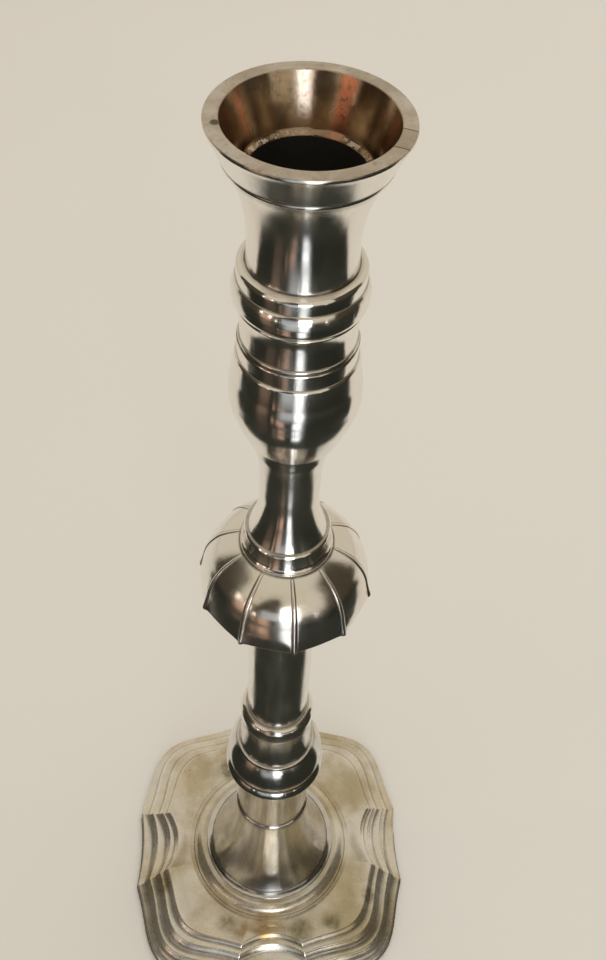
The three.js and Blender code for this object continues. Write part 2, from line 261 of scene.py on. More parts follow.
def cup_wear(tree, where, offset, bloom, colour, rough, normal):
    """The cup's tarnished mouth with a pale streak and painted reflections down it of the window and of a
    warm lamp, wax, soot and hazy rim, with a patch and a pit.
    """
    height = node(tree, "SeparateXYZ", {0: where}).outputs[2]
    stain = attribute(tree, "stain")
    wax = attribute(tree, "wax")
    soot = attribute(tree, "soot")
    rim = attribute(tree, "rim")
    blotch = cloudy(tree, where, 150, 4, 0.55, offset)
    specks = cloudy(tree, where, 900, 4, 0.65, offset)
    runs = cloudy(tree, where, 110, 3, 0.5, offset, (1, 1, 0.2))
    tarnish = mixed(tree, between(tree, blotch, 0.38, 0.62), AMBER, BROWN)
    tarnish = mixed(tree, between(tree, runs, 0.54, 0.70, 0.0, 0.85), tarnish, WARM_SILVER)
    pale = streak_at(tree, where, CREAM_SIDE_TURN, 0.007)
    pale = maths(tree, "MULTIPLY", pale, between(tree, runs, 0.4, 0.6))
    tarnish = mixed(tree, maths(tree, "MULTIPLY", pale, 0.7), tarnish, WARM_SILVER)
    # Painted highlight: a pale band down the mouth where the window would reflect.
    painted_highlight = maths(tree, "MULTIPLY", streak_at(tree, where, HIGHLIGHT_TURN, 0.0026), 0.35)
    tarnish = mixed(tree, painted_highlight, tarnish, SILVER)
    # Painted reflection: an orange band down the mouth where a warm lamp would reflect.
    warm = maths(tree, "MULTIPLY", streak_at(tree, where, WARM_REFLECTION_TURN, 0.0021), 0.85)
    tarnish = mixed(tree, warm, tarnish, WARM_REFLECTION_COLOUR)
    tarnish = mixed(tree, between(tree, specks, 0.52, 0.68, 0.0, 0.6), tarnish, BROWN)
    low = between(tree, height, *DISH_BROWN, 0.0, 0.7)
    tarnish = mixed(tree, low, tarnish, BROWN)
    colour = mixed(tree, stain, colour, tarnish)
    crust = maths(tree, "MULTIPLY", between(tree, specks, 0.48, 0.56), between(tree, runs, 0.42, 0.52))
    crust = maths(tree, "MULTIPLY", wax, crust, clamp=True)
    colour = mixed(tree, crust, colour, WAX)
    flecks = node(tree, "TexVoronoi", {"Vector": where, "Scale": 620.0}, feature="F1").outputs["Distance"]
    flecks = maths(tree, "MULTIPLY", between(tree, flecks, 0.2, 0.12), between(tree, bloom, 0.52, 0.6))
    colour = mixed(tree, soot, colour, mixed(tree, flecks, SOOT, (0.30, 0.28, 0.26)))

    haze = maths(tree, "MULTIPLY", rim, between(tree, blotch, 0.3, 0.65, 0.3, 0.95))
    colour = mixed(tree, haze, colour, RIM_BLOOM)
    freckles = maths(tree, "MULTIPLY", rim, between(tree, specks, 0.52, 0.7, 0.0, 0.4))
    colour = mixed(tree, freckles, colour, BROWN)
    outward, sideways = facing(PATCH_TURN)
    across = along(tree, where, sideways)
    near = maths(tree, "MULTIPLY", rim, between(tree, along(tree, where, outward), 0.012, 0.0135))
    patch = between(tree, maths(tree, "ABSOLUTE", across), PATCH_HALF + 0.0001, PATCH_HALF - 0.0001)
    edge = line_at(tree, maths(tree, "ABSOLUTE", across), PATCH_HALF, 0.00022)
    patch = maths(tree, "MULTIPLY", patch, near)
    edge = maths(tree, "MULTIPLY", edge, near)
    colour = mixed(tree, maths(tree, "MULTIPLY", patch, 0.35), colour, BROWN)
    colour = mixed(tree, maths(tree, "MULTIPLY", edge, 0.75), colour, GRIME)

    pit_at = Vector(facing(PIT_TURN)[0]) * PIT_RADIUS + Vector((0, 0, TOTAL_HEIGHT * MM))
    pit = distance_from(tree, where, tuple(pit_at))
    pit = between(tree, pit, 0.0010, 0.0005)
    colour = mixed(tree, maths(tree, "MULTIPLY", pit, 0.85), colour, GRIME)
    normal = bumped(tree, maths(tree, "SUBTRACT", 1.0, pit), 0.8, 0.0003, normal)

    rough = maths(tree, "MAXIMUM", rough, maths(tree, "MULTIPLY", stain, 0.22))
    rough = maths(tree, "MAXIMUM", rough, maths(tree, "MULTIPLY", rim, 0.36))
    rough = maths(tree, "MAXIMUM", rough, maths(tree, "MULTIPLY", soot, 0.6))
    rough = maths(tree, "MAXIMUM", rough, maths(tree, "MULTIPLY", crust, 0.5))
    metal = maths(tree, "SUBTRACT", 1.0, maths(tree, "MAXIMUM", crust, soot), clamp=True)
    dents = cloudy(tree, where, 620, 3, 0.6, offset)
    normal = bumped(tree, dents, maths(tree, "MULTIPLY", rim, 0.4), 0.00012, normal)
    crumbs = maths(tree, "MAXIMUM", maths(tree, "MULTIPLY", stain, 0.25), wax)
    crumbs = maths(tree, "MULTIPLY", crumbs, 0.5)
    normal = bumped(tree, specks, crumbs, 0.00015, normal)
    return colour, rough, metal, normal


def silver_material(name, seed, warmth=0.35, grain=0.16, turned=True, used=False, patina=0.0, painted_shade=0.0):
    """Polished silver with turning lines, hairline scratches, a warm bloom and grime in its corners, and
    where asked painted shade: a darker grey mixed in.
    """
    material, tree = new_material(name)
    where = node(tree, "TexCoord").outputs["Object"]
    offset = (seed * 0.37, seed * 0.21, seed * 0.13)
    axes = node(tree, "SeparateXYZ", {0: where})
    flat = node(tree, "CombineXYZ", {0: axes.outputs[0], 1: axes.outputs[1]})
    radius = node(tree, "VectorMath", {0: flat.outputs[0]}, operation="LENGTH").outputs["Value"]

    bloom = cloudy(tree, where, 55, 6, 0.62, offset)
    smear = cloudy(tree, where, 210, 5, 0.6, offset, (1, 1, 0.35))
    scratch_a = cloudy(tree, where, 90, 2, 0.5, offset, (1, 30, 1), (0.4, 0.9, 0.3))
    scratch_b = cloudy(tree, where, 90, 2, 0.5, offset, (34, 1, 1), (1.1, 0.2, 0.8))
    scratches = maths(
        tree,
        "MAXIMUM",
        between(tree, scratch_a, 0.66, 0.72),
        between(tree, scratch_b, 0.67, 0.73),
    )
    spots = node(tree, "TexVoronoi", {"Vector": where, "Scale": 420.0}, feature="F1").outputs["Distance"]
    spots = maths(
        tree, "MULTIPLY", between(tree, spots, 0.2, 0.08), between(tree, bloom, 0.55, 0.68)
    )
    grime = attribute(tree, "grime")
    dirt = maths(tree, "MULTIPLY", grime, between(tree, smear, 0.3, 0.62, 0.5, 0.9), clamp=True)

    veil = maths(tree, "MULTIPLY", between(tree, bloom, 0.35, 0.75), warmth)
    colour = mixed(tree, veil, SILVER, WARM_SILVER)
    # Painted shade: a darker grey mixed into the colour, so that the foot's reflections come out darker.
    if painted_shade:
        colour = mixed(tree, between(tree, smear, 0.3, 0.7, painted_shade - 0.1, painted_shade + 0.1), colour, SHADE_GREY)
    if patina:
        colour = base_patina(tree, where, flat.outputs[0], smear, colour, patina)
    colour = mixed(tree, maths(tree, "MULTIPLY", spots, 0.4), colour, GRIME)
    colour = mixed(tree, dirt, colour, GRIME)
    rough = between(tree, smear, 0.3, 0.75, grain - 0.04, grain + 0.06)
    rough = maths(tree, "ADD", rough, maths(tree, "MULTIPLY", dirt, 0.35), clamp=True)
    metal = TARNISHED_METAL if patina else 1.0

    if turned:
        spiral = maths(tree, "ADD", maths(tree, "MULTIPLY", radius, 0.83), axes.outputs[2])
        lines = node(
            tree,
            "TexNoise",
            {"W": spiral, "Scale": 3100.0, "Detail": 3.0, "Roughness": 0.7},
            noise_dimensions="1D",
        ).outputs["Fac"]
        normal = bumped(tree, lines, 0.12, 0.00004)
    else:
        fine = cloudy(tree, where, 1400, 3, 0.6, offset)
        normal = bumped(tree, fine, 0.08, 0.00005)
    wave = cloudy(tree, where, 95, 2, 0.5, offset)
    normal = bumped(tree, wave, 0.08, 0.0008, normal)
    normal = bumped(tree, scratches, 0.25, 0.00002, normal)

    if used:
        colour, rough, metal, normal = cup_wear(tree, where, offset, bloom, colour, rough, normal)

    inputs = {"Base Color": colour, "Metallic": metal, "Roughness": rough, "Normal": normal}
    if turned:
        inputs["Anisotropic"] = 0.72
        inputs["Anisotropic Rotation"] = 0.25
        inputs["Tangent"] = node(tree, "Tangent", direction_type="RADIAL", axis="Z").outputs[0]
    finish_material(tree, inputs)
    return material


def steel_material(name):
    material, tree = new_material(name)
    where = node(tree, "TexCoord").outputs["Object"]
    patches = cloudy(tree, where, 160, 5, 0.6)
    fine = cloudy(tree, where, 1500, 3, 0.6, stretch=(1, 1, 8))
    rust = between(tree, cloudy(tree, where, 420, 6, 0.7, (3, 1, 2)), 0.6, 0.72)
    colour = mixed(tree, patches, (0.46, 0.46, 0.46), (0.62, 0.62, 0.61))
    colour = mixed(tree, maths(tree, "MULTIPLY", rust, 0.7), colour, (0.20, 0.11, 0.06))
    rough = maths(tree, "ADD", between(tree, fine, 0.3, 0.7, 0.28, 0.45), maths(tree, "MULTIPLY", rust, 0.3))
    metal = maths(tree, "SUBTRACT", 1.0, maths(tree, "MULTIPLY", rust, 0.7))
    normal = bumped(tree, fine, 0.25, 0.00006)
    finish_material(tree, {"Base Color": colour, "Metallic": metal, "Roughness": rough, "Normal": normal})
    return material


def felt_material(name):
    material, tree = new_material(name)
    where = node(tree, "TexCoord").outputs["Object"]
    fibres = cloudy(tree, where, 1500, 6, 0.75, turn=(0, 0, 0.6), stretch=(1, 2.4, 1))
    across = cloudy(tree, where, 1300, 6, 0.75, turn=(0, 0, 2.1), stretch=(1, 2.4, 1))
    nap = maths(tree, "MAXIMUM", fibres, across)
    wear = cloudy(tree, where, 60, 5, 0.6)
    colour = mixed(tree, between(tree, nap, 0.35, 0.75), (0.010, 0.024, 0.014), (0.045, 0.085, 0.055))
    colour = mixed(tree, between(tree, wear, 0.55, 0.8, 0.0, 0.5), colour, (0.11, 0.12, 0.085))
    normal = bumped(tree, nap, 0.6, 0.0003)
    sheen = {"Sheen Weight": 0.35, "Sheen Roughness": 0.5}
    finish_material(tree, {"Base Color": colour, "Roughness": 0.95, "Normal": normal, **sheen})
    return material


# ---- outlines -----------------------------------------------------------------------------
# An outline is a list of (radius, height, bow) in millimetres, up the outside and down the inside.
BOW_STEPS = 9
CORNER = math.radians(17)
SOFT_EDGE = 0.2  # reach of the small rounding on every worked edge


def bowed(outline):
    points = [(outline[0][0], outline[0][1])]
    for entry in outline[1:]:
        bow = entry[2] if len(entry) > 2 else 0
        start = Vector(points[-1])
        end = Vector(entry[:2])
        if not bow:
            points.append(tuple(end))
            continue
        along = (end - start).normalized()
        control = (start + end) / 2 + Vector((along.y, -along.x)) * (2 * bow)
        for step in range(1, BOW_STEPS + 1):
            share = step / BOW_STEPS
            point = start.lerp(control, share).lerp(control.lerp(end, share), share)
            points.append(tuple(point))
    return points


def softened(points, reach=SOFT_EDGE):
    """Round every corner of a closed outline; returns (radius, height, grime) rings."""
    rings = []
    count = len(points)
    for index, point in enumerate(points):
        here = Vector(point)
        back = Vector(points[index - 1]) - here
        on = Vector(points[(index + 1) % count]) - here
        turn = -(-back).angle_signed(on, 0.0)  # positive where the metal bulges
        if abs(turn) < CORNER:
            rings.append((here.x, here.y, 0.0))
            continue
        grime = 0.0 if turn > 0 else 1.0
        into = min(reach, back.length * 0.4)
        out = min(reach, on.length * 0.4)
        if back.length > 4 * into:
            support = here + back.normalized() * into * 1.8
            rings.append((support.x, support.y, grime * 0.35))
        first = here + back.normalized() * into
        last = here + on.normalized() * out
        for share in (0.0, 0.3, 0.5, 0.7, 1.0):
            place = first.lerp(here, share).lerp(here.lerp(last, share), share)
            rings.append((place.x, place.y, grime))
        if on.length > 4 * out:
            support = here + on.normalized() * out * 1.8
            rings.append((support.x, support.y, grime * 0.35))
    return rings


def ring_mesh(name, rows, values):
    """A closed body through closed rows of points (mm); the last row joins the first."""
    around = len(rows[0])
    vertices = [Vector(point) * MM for row in rows for point in row]
    faces = []
    for row in range(len(rows)):
        after = (row + 1) % len(rows)
        for step in range(around):
            beside = (step + 1) % around
            faces.append((
                row * around + step,
                row * around + beside,
                after * around + beside,
                after * around + step,
            ))
    mesh = bpy.data.meshes.new(name)
    mesh.from_pydata(vertices, [], faces)
    mesh.update()
    mesh.polygons.foreach_set("use_smooth", [True] * len(mesh.polygons))
    for key, per_row in values.items():
        layer = mesh.attributes.new(key, "FLOAT", "POINT")
        flat = [value for row in per_row for value in (row if isinstance(row, list) else [row] * around)]
        layer.data.foreach_set("value", flat)
    piece = bpy.data.objects.new(name, mesh)
    bpy.context.scene.collection.objects.link(piece)
    return piece


def settle(piece, node_name, material):
    piece.data.materials.append(material)
    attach(piece, "root")
    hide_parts(node_name)


SIDES = 160
JOINT_GRIME = 0.55
JOINT_REACH = 0.12  # how near the joint the grime gathers


def turned_piece(node_name, outer, material, inner=None, sides=SIDES):
    """A turned section: outer outline up the outside, then the inner outline down the bore."""
    bottom = outer[0][1]
    top = outer[-1][1]
    inner = inner or [(ROD_HOLE, top), (ROD_HOLE, bottom)]
    rings = softened(bowed(outer + inner))
    rows = []
    grime = []
    for radius, height, dirt in rings:
        near_joint = min(abs(height - bottom), abs(height - top))
        if near_joint < JOINT_REACH and radius > ROD_HOLE + 2:
            dirt = max(dirt, JOINT_GRIME)
        grime.append(dirt)
        rows.append([
            (radius * math.cos(angle), radius * math.sin(angle), height)
            for angle in (2 * math.pi * step / sides for step in range(sides))
        ])
    piece = ring_mesh(node_name + "_fine", rows, {"grime": grime})
    settle(piece, node_name, material)
    return piece


# ---- base ---------------------------------------------------------------------------------
CUSP_ANGLE = math.radians(15.6)
EDGE = (49.8, 52.9, 58.6)  # the foot's border at a notch, a cusp and a lobe
RIM_WIDTH = 3.4
FELT = 0.8
NOTCH_SHARES = [0, 0.12, 0.24, 0.36, 0.48, 0.6, 0.7, 0.8, 0.88, 0.94, 0.98, 1]
LOBE_SHARES = [
    0.015, 0.04, 0.08, 0.13, 0.19, 0.25, 0.32, 0.39, 0.46, 0.53, 0.6, 0.67, 0.74, 0.81, 0.87, 0.93, 1,
]


def border_eighth(notch, cusp, lobe):
    polar = []
    cusp_x = cusp * math.cos(CUSP_ANGLE)
    cusp_y = cusp * math.sin(CUSP_ANGLE)
    for share in NOTCH_SHARES:
        x = notch + (cusp_x - notch) * share * share
        y = cusp_y * share
        polar.append((math.hypot(x, y), math.atan2(y, x)))
    for share in LOBE_SHARES:
        rise = (share * share * (3 - 2 * share)) ** 1.5
        polar.append((cusp + (lobe - cusp) * rise, CUSP_ANGLE + (math.pi / 4 - CUSP_ANGLE) * share))
    return polar


def border(notch, cusp, lobe):
    eighth = border_eighth(notch, cusp, lobe)
    points = []
    for quarter in range(4):
        start = quarter * math.pi / 2
        for radius, angle in eighth:
            points.append((radius * math.cos(start + angle), radius * math.sin(start + angle)))
        for radius, angle in reversed(eighth[1:-1]):
            angle = start + math.pi / 2 - angle
            points.append((radius * math.cos(angle), radius * math.sin(angle)))
    return points


def base_ring(radii, height):
    if len(set(radii)) > 1:
        return [Vector((x, y, height)) for x, y in border(*radii)]
    return [
        Vector((x, y, 0)).normalized() * radii[0] + Vector((0, 0, height)) for x, y in border(*EDGE)
    ]


def inset(distance):
    return tuple(radius - distance for radius in EDGE)


# (border radii, height, bow of the stretch that ends there, is the corner a crevice)
BASE_SECTION = [
    (inset(0.3), 0, 0, 0),
    (inset(0), 0.4, 0, 0),
    (inset(0.1), 1.5, 0.05, 0),
    ((48.7, 51.9, 57.4), 2.6, 0.25, 0),
    ((45.6, 49.6, 55.4), 3.3, -0.12, 0.4),
    ((44, 48.1, 54), 5.1, 0.12, 0),
    ((43.2, 47.5, 53.2), 5.7, 0.1, 0),
    ((40.4, 45.2, 50.7), 6.3, -0.12, 0.4),
    ((38.9, 43.9, 49.3), 8, 0.12, 0),
    ((38.2, 43.3, 48.5), 8.6, 0.1, 0),
    ((36.8, 41.9, 46.2), 8.9, -0.05, 0.4),
    ((35.8, 41, 45.1), 10.1, 0.1, 0),
    ((34.8, 39.8, 44), 10.6, 0.12, 0),
    ((32.8, 36.2, 39), 9.8, 0.1, 0),
    ((30.8,) * 3, 8.7, -0.1, 0),
    ((29.2,) * 3, 8.2, -0.05, 0.4),
    ((28.9,) * 3, 9.2, 0, 0),
    ((28.3,) * 3, 11, 0.1, 0),
    ((26.9,) * 3, 12.3, 0.15, 0),
    ((25.3,) * 3, BASE_TOP, 0.08, 0.3),
    ((ROD_HOLE,) * 3, BASE_TOP, 0, 0),
    ((ROD_HOLE,) * 3, 10.5, 0, 0),
    ((23.4,) * 3, 10.5, 0, 0),
    ((25.6,) * 3, 6.4, 0, 0),
    ((30,) * 3, 6, 0, 0),
    ((33, 37, 41), 7.8, 0, 0),
    ((38, 42, 47), 5.6, 0, 0),
    (inset(RIM_WIDTH + 3), FELT, 0, 0),
    (inset(RIM_WIDTH), FELT, 0, 0),
    (inset(RIM_WIDTH), 0, 0, 0),
]
BASE_BOW_STEPS = 5
BASE_SOFT = 0.9


def swept_column(controls, bows, crevices):
    """One column of the base, from its control points: bowed stretches, then rounded corners."""
    points = []
    dirt = []
    for index, control in enumerate(controls):
        start = controls[index - 1]
        if index and bows[index]:
            radial = Vector((start.x + control.x, start.y + control.y, 0)).normalized()
            rise = control.z - start.z
            run = control.to_2d().length - start.to_2d().length
            out = (radial * rise + Vector((0, 0, -run))) / math.hypot(rise, run)
            middle = (start + control) / 2 + out * 2 * bows[index]
            for step in range(1, BASE_BOW_STEPS):
                share = step / BASE_BOW_STEPS
                points.append(start.lerp(middle, share).lerp(middle.lerp(control, share), share))
                dirt.append(None)
        points.append(control)
        dirt.append(float(crevices[index]))
    column = []
    grime = []
    count = len(points)
    for index, here in enumerate(points):
        if dirt[index] is None:
            column.append(here)
            grime.append(0.0)
            continue
        back = points[index - 1] - here
        on = points[(index + 1) % count] - here
        into = min(BASE_SOFT, back.length * 0.45)
        out = min(BASE_SOFT, on.length * 0.45)
        first = here + back.normalized() * into
        last = here + on.normalized() * out
        for share in (0.0, 0.35, 0.65, 1.0):
            column.append(first.lerp(here, share).lerp(here.lerp(last, share), share))
            grime.append(dirt[index])
    return column, grime


def make_base(material):
    rings = [base_ring(radii, height) for radii, height, _, _ in BASE_SECTION]
    bows = [entry[2] for entry in BASE_SECTION]
    crevices = [entry[3] for entry in BASE_SECTION]
    columns = []
    for step in range(len(rings[0])):
        column, grime = swept_column([ring[step] for ring in rings], bows, crevices)
        columns.append(column)
    rows = [list(row) for row in zip(*columns)]
    piece = ring_mesh("base_plate_fine", rows, {"grime": grime})
    settle(piece, "base_plate", material)
    return piece


# ---- umbrella-shaped shoulder knop ----------------------------------------------------------
RIBS = 10
FIRST_RIB = math.radians(22.5)
RIB_HALF = math.radians(1.55)
RIB_HEIGHT = 0.32
PANEL_FLATNESS = 0.7
PANEL_FLAT_UP_TO = 187.5
PANEL_ROUNDING = 7  # height over which the flat panels turn round
RIBS_START = 186.9
RIBS_INNER = 11
RIB_FADE_FROM = 11.2  # the ribs sink into the top between this radius and RIB_FADE_OVER further out
RIB_FADE_OVER = 1.2
TIP_HEIGHT = 188.5
TIP_REACH = 0.28  # how far each rib's tip stands out
TIP_SPREAD = 1.6  # in height, and in half widths of a rib to each side
RIB_STOPS = [-1.7, -1.35, -1.1, -0.9, -0.7, -0.45, -0.2, 0, 0.2, 0.45, 0.7, 0.9, 1.1, 1.35, 1.7]
PANEL_STEPS = 12
UMBRELLA = [
    (21.5, 187.3),
    (22, 188.2, 0.08),
    (21.1, 193.2, 0.12),
    (16.6, 202.4, 0.85),
    (11.4, 205.5, 0.2),
    (11.4, SHOULDER_TOP),
]
UNDER_UMBRELLA = [
    (ROD_HOLE, SHOULDER_TOP),
    (ROD_HOLE, PILLAR_TOP),
    (PILLAR_RADIUS + FIT, PILLAR_TOP),
    (PILLAR_RADIUS + FIT, 181),
    (11, 181),
    (13.4, 185),
    (20.3, 186.8, -0.4),
]


def rib_profile(across):
    """Height of the rib's section, 0 to 1, with a fine groove on each side."""
    across = abs(across)
    bead = math.sqrt(max(0.0, 1 - across * across))
    groove = -0.16 * math.exp(-(((across - 1.12) / 0.16) ** 2))
    return bead + groove


def panel_shape(height, offset, sector):
    """How far the panel lies inside the round, and how far a rib's tip stands out."""
    share = min(1.0, max(0.0, (height - PANEL_FLAT_UP_TO) / PANEL_ROUNDING))
    flat = PANEL_FLATNESS * (1 - share * share * (3 - 2 * share))
    inward = flat * (1 - (1 - 2 * (offset % sector) / sector) ** 2)
    tip = math.exp(-(((height - TIP_HEIGHT) / TIP_SPREAD) ** 2))
    beside = min(offset, sector - offset) if offset > 0 else -offset
    outward = TIP_REACH * tip * math.exp(-((beside / (TIP_SPREAD * RIB_HALF)) ** 2))
    return inward, outward


def make_umbrella(material):
    sector = 2 * math.pi / RIBS
    stops = []
    for stop in RIB_STOPS:
        stops.append((stop * RIB_HALF, rib_profile(stop), 1.0 if 0.9 <= abs(stop) <= 1.35 else 0.0))
    edge = RIB_STOPS[-1] * RIB_HALF
    for step in range(1, PANEL_STEPS):
        stops.append((edge + (sector - 2 * edge) * step / PANEL_STEPS, 0.0, 0.0))
    rings = softened(bowed(UMBRELLA + UNDER_UMBRELLA))
    rows = []
    grime = []
    for radius, height, dirt in rings:
        ribbed = height > RIBS_START and radius > RIBS_INNER
        fade = min(1.0, max(0.0, (radius - RIB_FADE_FROM) / RIB_FADE_OVER)) if ribbed else 0.0
        row = []
        soil = []
        for rib in range(RIBS):
            for offset, proud, groove in stops:
                angle = FIRST_RIB + rib * sector + offset
                reach = radius + RIB_HEIGHT * proud * fade
                if ribbed:
                    inward, outward = panel_shape(height, offset, sector)
                    reach = reach - inward + outward
                row.append((reach * math.cos(angle), reach * math.sin(angle), height))
                soil.append(max(dirt, groove * fade * 0.8))
        rows.append(row)
        grime.append(soil)
    piece = ring_mesh("shoulder_knop_fine", rows, {"grime": grime})
    settle(piece, "shoulder_knop", material)
    return piece


# ---- candle cup -----------------------------------------------------------------------------
CUP = [
    (12.3, TORUS_TOP),
    (12.35, 290.2),
    (11.8, 291.2, 0.15),
    (10.6, 291.5),
    (10.42, 297.6, -0.1),
    (14.3, 312.2, -0.9),
    (14.9, 312.6, 0.06),
    (15, 313.3, 0.08),
    (17.4, 318.9, -0.05),
    (17.7, 319.4),
    (17.6, TOTAL_HEIGHT),
    (15, TOTAL_HEIGHT),
    (11.5, 310.9, 0.1),
    (11.2, 310.55),
    (10.85, 310.3),
    (10.5, 310),
    (10.3, 308),
    (9.3, 298),
    (9.3, SOCKET_FLOOR),
    (ROD_HOLE, SOCKET_FLOOR),
    (ROD_HOLE, TORUS_TOP),
]
CUP_SIDES = 224
CUP_SOFT = 0.16
MOUTH_STARTS = 16  # the outline is in the mouth once it has passed this radius at the top
MOUTH_RADIUS = 15.1
SOCKET_BOTTOM = 291.5
LEDGE_HEIGHTS = (309.9, 311.3)
LEDGE_RADII = (10.55, 11.25)
SOOT_TOP = 309.95
RIM_INNER = 14.9


def make_cup(material):
    rings = softened(bowed(CUP), CUP_SOFT)
    rows = []
    layers = {"grime": [], "stain": [], "wax": [], "soot": [], "rim": []}
    in_mouth = False
    for radius, height, dirt in rings:
        if height > TOTAL_HEIGHT - 0.1 and radius < MOUTH_STARTS:
            in_mouth = True
        inside = in_mouth and radius < MOUTH_RADIUS and height > SOCKET_BOTTOM
        on_ledge = LEDGE_HEIGHTS[0] < height < LEDGE_HEIGHTS[1] and LEDGE_RADII[0] < radius < LEDGE_RADII[1]
        ledge = in_mouth and on_ledge
        row = []
        soil = {key: [] for key in layers}
        for step in range(CUP_SIDES):
            angle = 2 * math.pi * step / CUP_SIDES
            reach = radius
            lift = 0.0
            spot = Vector((math.cos(angle), math.sin(angle), height * 0.05))
            if ledge:
                lump = noise.noise(spot * 9) + 0.6 * noise.noise(spot * 23)
                lift = 0.22 * max(0.0, lump + 0.1)
                reach += 0.12 * lump
            row.append((reach * math.cos(angle), reach * math.sin(angle), height + lift))
            soil["grime"].append(0.0 if inside else dirt)
            soil["stain"].append(1.0 if inside else 0.0)
            soil["wax"].append(1.0 if ledge else 0.0)
            soil["soot"].append(1.0 if inside and height < SOOT_TOP else 0.0)
            soil["rim"].append(1.0 if height > TOTAL_HEIGHT - 0.2 and radius > RIM_INNER else 0.0)
        rows.append(row)
        for key in layers:
            layers[key].append(soil[key])
    piece = ring_mesh("candle_cup_fine", rows, layers)
    settle(piece, "candle_cup", material)
    return piece


# ---- hardware ---------------------------------------------------------------------------------
NUT_FLAT = 5  # from the axis to a flat
# (radius, depth below a face), to the middle of the nut
NUT_HALF = [(ROD_HOLE, 0.3), (3.6, 0), (4.9, 0), (5.4, 0.25), (6, 0.55), (6, 0.8)]


def hex_row(radius, height, sides=96):
    """A row round a hexagon; where the chamfer cone cuts it, it stays round."""
    row = []
    for step in range(sides):
        angle = 2 * math.pi * step / sides
        from_flat = angle % (math.pi / 3) - math.pi / 6
        reach = min(radius, NUT_FLAT / math.cos(from_flat))
        row.append((reach * math.cos(angle), reach * math.sin(angle), height))
    return row


def make_nut(node_name, bottom, height, material):
    top = bottom + height
    shape = [(radius, bottom + depth) for radius, depth in NUT_HALF]
    shape += [(radius, top - depth) for radius, depth in reversed(NUT_HALF)]
    rows = [hex_row(radius, level) for radius, level in shape]
    piece = ring_mesh(node_name + "_fine", rows, {"grime": [0.0] * len(rows)})
    settle(piece, node_name, material)
    return piece


ROD_RADIUS = 3.0
ROD_END = 2.4
ROD_CORE = 0.02  # a hair-thin hole, so that the outline closes without touching the axis
ROD_SIDES = 48
THREAD_ROOT = 2.6
THREAD_PITCH = 1.0
THREAD_TURNS = 11
THREAD_START = 0.6  # from the end of the rod


def thread_from(start):
    """Outline of one threaded stretch, from its lowest groove up to its highest."""
    outline = []
    for turn in range(THREAD_TURNS):
        level = start + turn * THREAD_PITCH
        outline += [(THREAD_ROOT, level), (ROD_RADIUS, level + 0.4), (ROD_RADIUS, level + 0.6)]
    outline.append((THREAD_ROOT, level + THREAD_PITCH))
    return outline


def make_rod(node_name, bottom, top, material):
    """The rod as a solid of revolution, with thread grooves at both ends."""
    lower = thread_from(bottom + THREAD_START)
    upper = thread_from(top - THREAD_START - THREAD_TURNS * THREAD_PITCH)
    plain = [
        (ROD_RADIUS, lower[-1][1] + 0.5),
        (ROD_RADIUS, top - THREAD_TURNS * THREAD_PITCH - 1.4),
    ]
    ends = [(ROD_CORE, bottom), (ROD_END, bottom)], [(ROD_END, top), (ROD_CORE, top)]
    angles = [2 * math.pi * step / ROD_SIDES for step in range(ROD_SIDES)]
    rows = []
    for radius, level in ends[0] + lower + plain + upper + ends[1]:
        rows.append([(radius * math.cos(angle), radius * math.sin(angle), level) for angle in angles])
    piece = ring_mesh(node_name + "_fine", rows, {"grime": [0.0] * len(rows)})
    settle(piece, node_name, material)
    return piece


# ---- the object -------------------------------------------------------------------------------
make_camera()

base_silver = silver_material("silver_base", 1, warmth=1.0, grain=0.25, turned=False, patina=0.85)
# The foot's silver carries painted shade, a darker grey, to darken its reflections.
foot_silver = silver_material("silver_foot", 2, warmth=0.35, painted_shade=0.3)
stem_silver = silver_material("silver_stem", 3, warmth=0.3)
umbrella_silver = silver_material("silver_umbrella", 4, warmth=0.7, grain=0.19, turned=False)
upper_silver = silver_material("silver_upper", 5, warmth=0.3)
cup_silver = silver_material("silver_cup", 6, warmth=0.35, used=True)
steel = steel_material("steel_hardware")

make_base(base_silver)
turned_piece(
    "trumpet_foot",
    [
        (24.2, BASE_TOP),
        (24, 13.4),
        (21.9, 14.3, -0.12),
        (16.8, 26, -0.5),
        (12.5, 51.8, -0.58),
        (12.7, 52.5),
        (12.1, FOOT_TOP),
    ],
    foot_silver,
    [
        (SPIGOT_RADIUS, FOOT_TOP),
        (SPIGOT_RADIUS, FOOT_TOP + SPIGOT),
        (ROD_HOLE, FOOT_TOP + SPIGOT),
        (ROD_HOLE, 49),
        (9.8, 48.5),
        (14.4, 25.5, 0.58),
        (20.4, BASE_TOP, 0.5),
    ],
    sides=192,
)
turned_piece(
    "lower_knop",
    [
        (12.1, FOOT_TOP),
        (11.8, 66, -0.05),
        (12.3, 79.5, -0.2),
        (15.6, 83.4, -0.6),
        (15.9, 85.1, 0.1),
        (14.8, 87.3, 0.15),
        (12.4, 99.2, 1.4),
        (12.2, 99.8, 0.05),
        (11.5, LOWER_KNOP_TOP),
    ],
    foot_silver,
    [
        (ROD_HOLE, LOWER_KNOP_TOP),
        (ROD_HOLE, LOWER_KNOP_TOP - 4),
        (SPIGOT_RADIUS + FIT, LOWER_KNOP_TOP - 4),
        (SPIGOT_RADIUS + FIT, FOOT_TOP),
    ],
)
turned_piece("cove_collar", [(11.5, LOWER_KNOP_TOP), (11.2, COVE_TOP, -0.4)], stem_silver)
